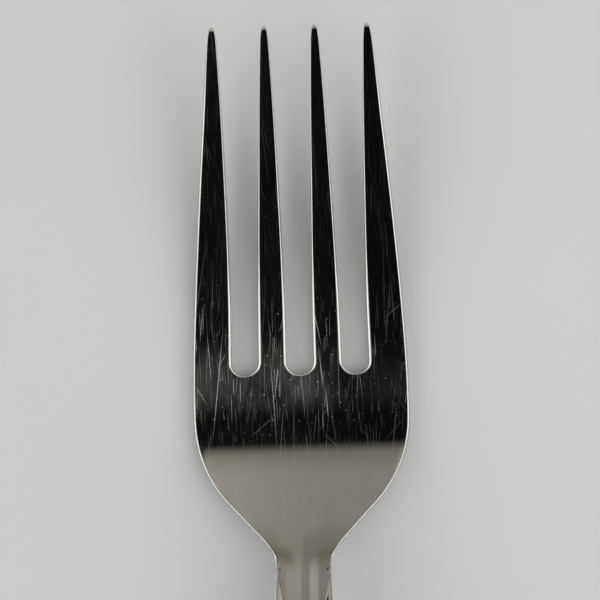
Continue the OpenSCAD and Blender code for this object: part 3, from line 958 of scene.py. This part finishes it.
def field_depth(handle, s, a):
    """Depth of the front below the border at station s and polar angle a."""
    z = handle.z
    across = handle.unit(a, handle.squareness(s))[0]
    u = handle.round_share(s)
    rim = sqrt(across**2 * (1 - u**2) + u**2)
    inwards = (1 - rim) * handle.half_width(s)
    return z.border_depth * eased(inwards, z.border_width, z.border_width + z.border_slope)


def shell_mesh(handle, side):
    """One half of the handle: a sheet thickened inwards. The front, on side 1, has a border."""
    z = handle.z
    columns = 2 * (BORDER_COLUMNS + SLOPE_COLUMNS) + FIELD_COLUMNS
    rows = BODY_ROWS + END_ROWS
    bm = bmesh.new()
    column_of = bm.verts.layers.int.new("column")
    row_of = bm.verts.layers.int.new("row")
    bmesh.ops.create_grid(bm, x_segments=columns, y_segments=rows, size=1)
    for v in bm.verts:
        v[column_of] = round((v.co.x + 1) / 2 * columns)
        v[row_of] = round((1 - v.co.y) / 2 * rows)
    outer = bm.verts[:]
    inner = doubled(bm)
    for verts, inset in ((outer, 0.0), (inner, z.shell_wall)):
        for v in verts:
            row = v[row_of]
            if row <= BODY_ROWS:
                base = mix(handle.mouth, handle.rest, row / BODY_ROWS)
            else:
                base = row_station(handle, row, 0.0, 0.0)
            a = column_angle(handle, v[column_of], base)
            s = row_station(handle, row, a, inset)
            deep = field_depth(handle, s, a) if side > 0 and inset == 0 else 0.0
            v.co = handle.point(s, a, inset, side)
            v.co.z -= side * deep
    bmesh.ops.remove_doubles(bm, verts=bm.verts[:], dist=SHELL_MERGE)
    bmesh.ops.recalc_face_normals(bm, faces=bm.faces[:])
    return bm


def solder_mesh(handle):
    """The strip of solder: down one side of the handle, round its end and back up the other side."""
    z = handle.z
    rows = BODY_ROWS + END_ROWS
    bm = bmesh.new()
    step_of = bm.verts.layers.int.new("step")
    depth_of = bm.verts.layers.int.new("depth")
    bmesh.ops.create_grid(bm, x_segments=2 * rows, y_segments=1, size=1)
    for v in bm.verts:
        v[step_of] = round((v.co.x + 1) / 2 * 2 * rows)
        v[depth_of] = 1 if v.co.y > 0 else 0
    lower = bm.verts[:]
    upper = doubled(bm)
    for verts, lift in ((lower, -0.5), (upper, 0.5)):
        for v in verts:
            step = v[step_of]
            row = step if step <= rows else 2 * rows - step
            a = 0.0 if step <= rows else pi
            inset = v[depth_of] * z.shell_wall
            v.co = handle.point(row_station(handle, row, a, inset), a, inset, 0)
            v.co.z += lift * z.solder_thickness
    bmesh.ops.remove_doubles(bm, verts=bm.verts[:], dist=SOLDER_MERGE)
    bmesh.ops.recalc_face_normals(bm, faces=bm.faces[:])
    return bm


def mark_sharp(bm):
    """Keeps a hard edge wherever two faces meet at more than the sharp angle."""
    for e in bm.edges:
        e.smooth = e.calc_face_angle(0.0) < SHARP_ANGLE


def forms(scene):
    """The head's and the handle's forms from the scene's settings."""
    head = HeadForm(scene.fork_head_sizes)
    return head, HandleForm(head, scene.fork_handle_sizes)


class FORK_OT_head(bpy.types.Operator):
    """Forge the head: tines, palm, shoulders, neck, tongue and tang"""

    bl_idname = "fork.head"
    bl_label = "Head"

    def execute(self, context):
        form, handle = forms(context.scene)
        finish = context.scene.fork_finish
        bm = head_blank(form, handle)
        if len(bm.faces) != 1:
            raise RuntimeError("the head's blank isn't one face")
        thicken_blank(bm, form)
        cuts = spread(0, form.flat_start, TINE_CUTS)[1:]
        cuts += spread(form.flat_start, form.mouth + handle.z.notch_length, PALM_CUTS)[1:-1]
        cut_across(bm, cuts)
        reach = form.z.head_width / 2 - form.z.edge_round
        cut_lengthwise(bm, form.z.tine_length + LONG_CUTS_START, spread(-reach, reach, LONG_CUTS))
        rib_places = spread(-RIB_CUTS_REACH, RIB_CUTS_REACH, RIB_CUTS)
        cut_lengthwise(bm, form.mouth + RIB_CUTS_START, rib_places)
        bend_head(bm, form, handle)
        tang = tang_mesh(form, handle)
        bm.from_mesh(tang)
        bpy.data.meshes.remove(tang)
        bmesh.ops.recalc_face_normals(bm, faces=bm.faces[:])
        mark_sharp(bm)
        worn = (y_at(form.wide_station + WEAR_FADE), y_at(form.wide_station))
        steel = worn_polished_steel("stainless_steel_forged_polished_worn", list(finish.head_steel),
                                    finish.scratch_share, 1.0, worn, y_at(form.slot_station + HAZE_SET))
        piece = finish_mesh(bm, "head", steel)
        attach(piece, "root")
        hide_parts("fork_head")
        return {"FINISHED"}


class FORK_OT_handle_shells(bpy.types.Operator):
    """Press the front and back shells of the hollow handle"""

    bl_idname = "fork.handle_shells"
    bl_label = "Handle shells"

    def execute(self, context):
        handle = forms(context.scene)[1]
        finish = context.scene.fork_finish
        worn = (y_at(handle.arch), y_at(handle.rest))
        steel = worn_polished_steel("stainless_steel_pressed_polished", list(finish.handle_steel),
                                    HANDLE_WEAR * finish.scratch_share, HANDLE_DENSITY, worn,
                                    y_at(handle.rest))
        shells = (("front_shell", "handle_front_shell", 1), ("back_shell", "handle_back_shell", -1))
        for name, node, side in shells:
            bm = shell_mesh(handle, side)
            mark_sharp(bm)
            piece = finish_mesh(bm, name, steel)
            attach(piece, "root")
            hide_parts(node)
        return {"FINISHED"}


class FORK_OT_seam(bpy.types.Operator):
    """Run the silver solder round the handle's seam"""

    bl_idname = "fork.seam"
    bl_label = "Seam"

    def execute(self, context):
        handle = forms(context.scene)[1]
        bm = solder_mesh(handle)
        mark_sharp(bm)
        piece = finish_mesh(bm, "solder_seam", silver_solder(list(context.scene.fork_finish.solder)))
        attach(piece, "root")
        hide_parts("seam_solder")
        return {"FINISHED"}


class FORK_OT_cement(bpy.types.Operator):
    """Finish the cement that holds the tang inside the handle"""

    bl_idname = "fork.cement"
    bl_label = "Cement"

    def execute(self, context):
        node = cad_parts["tang_cement"]
        node.data.materials.clear()
        node.data.materials.append(cast_cement(list(context.scene.fork_finish.cement)))
        return {"FINISHED"}


def add_lamp(name, place, power):
    """A plain soft square lamp. The metal mirrors the room's bright sides and not the lamp."""
    light = bpy.data.lights.new(name, "AREA")
    light.size = LAMP_SIZE
    light.energy = power
    lamp = bpy.data.objects.new(name, light)
    lamp.location = place
    lamp.visible_glossy = False
    lamp.rotation_euler = (Vector(LAMP_AIM) - lamp.location).to_track_quat("-Z", "Y").to_euler()
    bpy.context.scene.collection.objects.link(lamp)


class FORK_OT_stage(bpy.types.Operator):
    """Set the table, the room's light and the camera"""

    bl_idname = "fork.stage"
    bl_label = "Stage"

    def execute(self, context):
        scene = context.scene
        stage = scene.fork_stage
        bm = bmesh.new()
        bmesh.ops.create_grid(bm, x_segments=2, y_segments=2, size=TABLE_REACH,
                              matrix=Matrix.Translation((0, 0, CAD_BOX[0][2] - TABLE_GAP)))
        material, tree, shader, place = new_material("table_board_painted_matt")
        # A painted board: even and matt, with the faintest clouding.
        cloud = add_node(tree, "ShaderNodeTexNoise", {
            "Vector": place, "Scale": 1 / (30 * MM), "Detail": 4.0})
        base = list(stage.floor_colour)
        tint = add_node(tree, "ShaderNodeMix", {
            0: cloud.outputs["Fac"], 6: [c * 0.985 for c in base] + [1], 7: [c * 1.015 for c in base] + [1]},
            data_type="RGBA")
        tree.links.new(tint.outputs[2], shader.inputs["Base Color"])
        shader.inputs["Roughness"].default_value = 0.75
        shader.inputs["Specular IOR Level"].default_value = 0.25
        finish_mesh(bm, "table", material)
        self.light_room(scene, stage)
        add_lamp("key_lamp", KEY_PLACE, stage.key_power)
        add_lamp("fill_lamp", FILL_PLACE, stage.fill_power)
        self.place_camera(scene, stage)
        scene.view_settings.view_transform = "Standard"
        return {"FINISHED"}

    def light_room(self, scene, stage):
        """The room: dark above, a grey board beyond the tips, and pale all around near the table."""
        world = bpy.data.worlds.new("room")
        world.use_nodes = True
        tree = world.node_tree
        tree.nodes.clear()
        way = add_node(tree, "ShaderNodeTexCoord")
        turned = add_node(tree, "ShaderNodeVectorRotate", {
            "Vector": way.outputs["Generated"], "Angle": stage.board_turn}, rotation_type="Z_AXIS")
        parts = add_node(tree, "ShaderNodeSeparateXYZ", {"Vector": turned.outputs[0]})
        lean = add_node(tree, "ShaderNodeMath", {
            0: parts.outputs["Y"], 1: parts.outputs["Z"]}, operation="ARCTAN2")
        below_top = add_node(tree, "ShaderNodeMapRange", {
            "Value": lean.outputs[0], "From Min": radians(16), "From Max": radians(24.5)},
            interpolation_type="SMOOTHSTEP")
        aside = add_node(tree, "ShaderNodeMath", {0: parts.outputs["X"]}, operation="ABSOLUTE")
        off = add_node(tree, "ShaderNodeMath", {
            0: aside.outputs[0], 1: parts.outputs["Z"]}, operation="ARCTAN2")
        within = add_node(tree, "ShaderNodeMapRange", {
            "Value": off.outputs[0], "From Min": radians(24), "From Max": radians(36), "To Min": 1.0,
            "To Max": 0.0}, interpolation_type="SMOOTHSTEP")
        on_board = add_node(tree, "ShaderNodeMath", {0: below_top.outputs[0], 1: within.outputs[0]},
                            operation="MULTIPLY")
        low = add_node(tree, "ShaderNodeMapRange", {
            "Value": parts.outputs["Z"], "From Min": 0.12, "From Max": 0.42, "To Min": 1.0, "To Max": 0.0},
            interpolation_type="SMOOTHSTEP")
        room = add_node(tree, "ShaderNodeMix", {
            0: low.outputs[0], 6: list(stage.ceiling_colour) + [1], 7: list(stage.horizon_colour) + [1]},
            data_type="RGBA")
        lower = add_node(tree, "ShaderNodeMapRange", {
            "Value": lean.outputs[0], "From Min": radians(24), "From Max": radians(54)})
        board = add_node(tree, "ShaderNodeMix", {
            0: lower.outputs[0], 6: list(stage.board_colour) + [1], 7: list(stage.horizon_colour) + [1]},
            data_type="RGBA")
        straight = add_node(tree, "ShaderNodeSeparateXYZ", {"Vector": way.outputs["Generated"]})
        across = add_node(tree, "ShaderNodeMath", {0: straight.outputs["X"]}, operation="ABSOLUTE")
        beside = add_node(tree, "ShaderNodeMath", {0: across.outputs[0], 1: straight.outputs["Z"]},
                          operation="ARCTAN2")
        # The board is paler towards its two ends, which draws the rib of the neck.
        paler = add_node(tree, "ShaderNodeMapRange", {
            "Value": beside.outputs[0], "From Min": radians(2.2), "From Max": radians(6), "To Min": 1.0,
            "To Max": 1.5})
        ends = add_node(tree, "ShaderNodeVectorMath", {0: board.outputs[2], "Scale": paler.outputs[0]},
                        operation="SCALE")
        seen = add_node(tree, "ShaderNodeMix", {
            0: on_board.outputs[0], 6: room.outputs[2], 7: ends.outputs[0]}, data_type="RGBA")
        # Over the board the bright sides begin lower, which leaves a dark strip between them and the board.
        shifted = add_node(tree, "ShaderNodeMath", {
            0: below_top.outputs[0], 1: radians(-16), 2: beside.outputs[0]}, operation="MULTIPLY_ADD")
        bright = add_node(tree, "ShaderNodeMapRange", {
            "Value": shifted.outputs[0], "From Min": radians(13), "From Max": radians(50), "To Min": 0.0,
            "To Max": stage.side_glow}, interpolation_type="SMOOTHSTEP")
        lit = add_node(tree, "ShaderNodeVectorMath", {
            0: seen.outputs[2], 1: bright.outputs[0]}, operation="MAXIMUM")
        glow = add_node(tree, "ShaderNodeBackground", {"Color": lit.outputs[0], "Strength": 1.0})
        add_node(tree, "ShaderNodeOutputWorld", {"Surface": glow.outputs[0]})
        scene.world = world

    def place_camera(self, scene, stage):
        """The camera looks almost straight down on the head, as in the photograph."""
        data = bpy.data.cameras.new("camera")
        data.sensor_width = 36
        data.lens = stage.camera_lens
        data.clip_start = 0.01
        data.clip_end = 20
        camera = bpy.data.objects.new("camera", data)
        turn = Matrix.Rotation(stage.camera_lean, 4, "Y") @ Matrix.Rotation(stage.camera_tip, 4, "X")
        camera.matrix_world = (Matrix.Translation(stage.camera_place) @ turn
                               @ Matrix.Rotation(stage.camera_roll, 4, "Z"))
        scene.collection.objects.link(camera)
        scene.camera = camera


class FORK_PT_panel(bpy.types.Panel):
    """The fork's pieces and settings"""

    bl_idname = "FORK_PT_panel"
    bl_label = "Cold meat fork"
    bl_space_type = "VIEW_3D"
    bl_region_type = "UI"
    bl_category = "Fork"

    def draw(self, context):
        for operator in OPERATORS:
            self.layout.operator(operator.bl_idname)
        for group in GROUPS:
            settings = getattr(context.scene, group)
            box = self.layout.box()
            for name in settings.__annotations__:
                box.prop(settings, name)


OPERATORS = (FORK_OT_head, FORK_OT_handle_shells, FORK_OT_seam, FORK_OT_cement, FORK_OT_stage)
GROUPS = {
    "fork_head_sizes": ForkHeadSizes,
    "fork_handle_sizes": ForkHandleSizes,
    "fork_finish": ForkFinish,
    "fork_stage": ForkStage,
}
CLASSES = tuple(GROUPS.values()) + OPERATORS + (FORK_PT_panel,)


def register():
    """Registers the classes and hangs the settings on the scene."""
    for cls in CLASSES:
        bpy.utils.register_class(cls)
    for name, group in GROUPS.items():
        setattr(bpy.types.Scene, name, PointerProperty(type=group))


def unregister():
    """Takes the settings off the scene and unregisters the classes."""
    for name in GROUPS:
        delattr(bpy.types.Scene, name)
    for cls in reversed(CLASSES):
        bpy.utils.unregister_class(cls)


def main():
    """Builds the fork and its stage."""
    register()
    bpy.ops.fork.head()
    bpy.ops.fork.handle_shells()
    bpy.ops.fork.seam()
    bpy.ops.fork.cement()
    bpy.ops.fork.stage()


if __name__ == "__main__":
    main()
